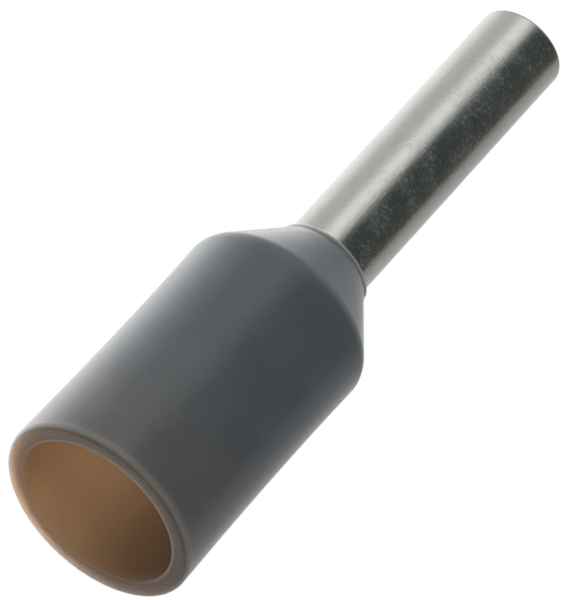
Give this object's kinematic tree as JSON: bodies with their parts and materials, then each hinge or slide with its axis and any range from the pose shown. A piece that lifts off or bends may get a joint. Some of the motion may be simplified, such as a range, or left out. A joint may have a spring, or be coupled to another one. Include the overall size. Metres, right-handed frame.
{
  "type": "wire ferrule",
  "caption": "Insulated wire-end ferrule: tinned metal crimp sleeve in a grey moulded collar with an open socket for the wire.",
  "frame": {"origin": "centre of the collar's mouth, on the flat rim it stands on", "axes": "+Z along the common axis, from the mouth to the tip of the pin"},
  "size_m": [0.0034, 0.0034, 0.012],
  "materials": {
    "collar_plastic": "satin moulded polypropylene, bluish mid grey",
    "tinned_copper": "bright tin plate on drawn copper tube, faint lengthwise lines and pits"
  },
  "bodies": {
    "root": {"collar": "collar_plastic", "sleeve": "tinned_copper"}
  },
  "joints": []
}
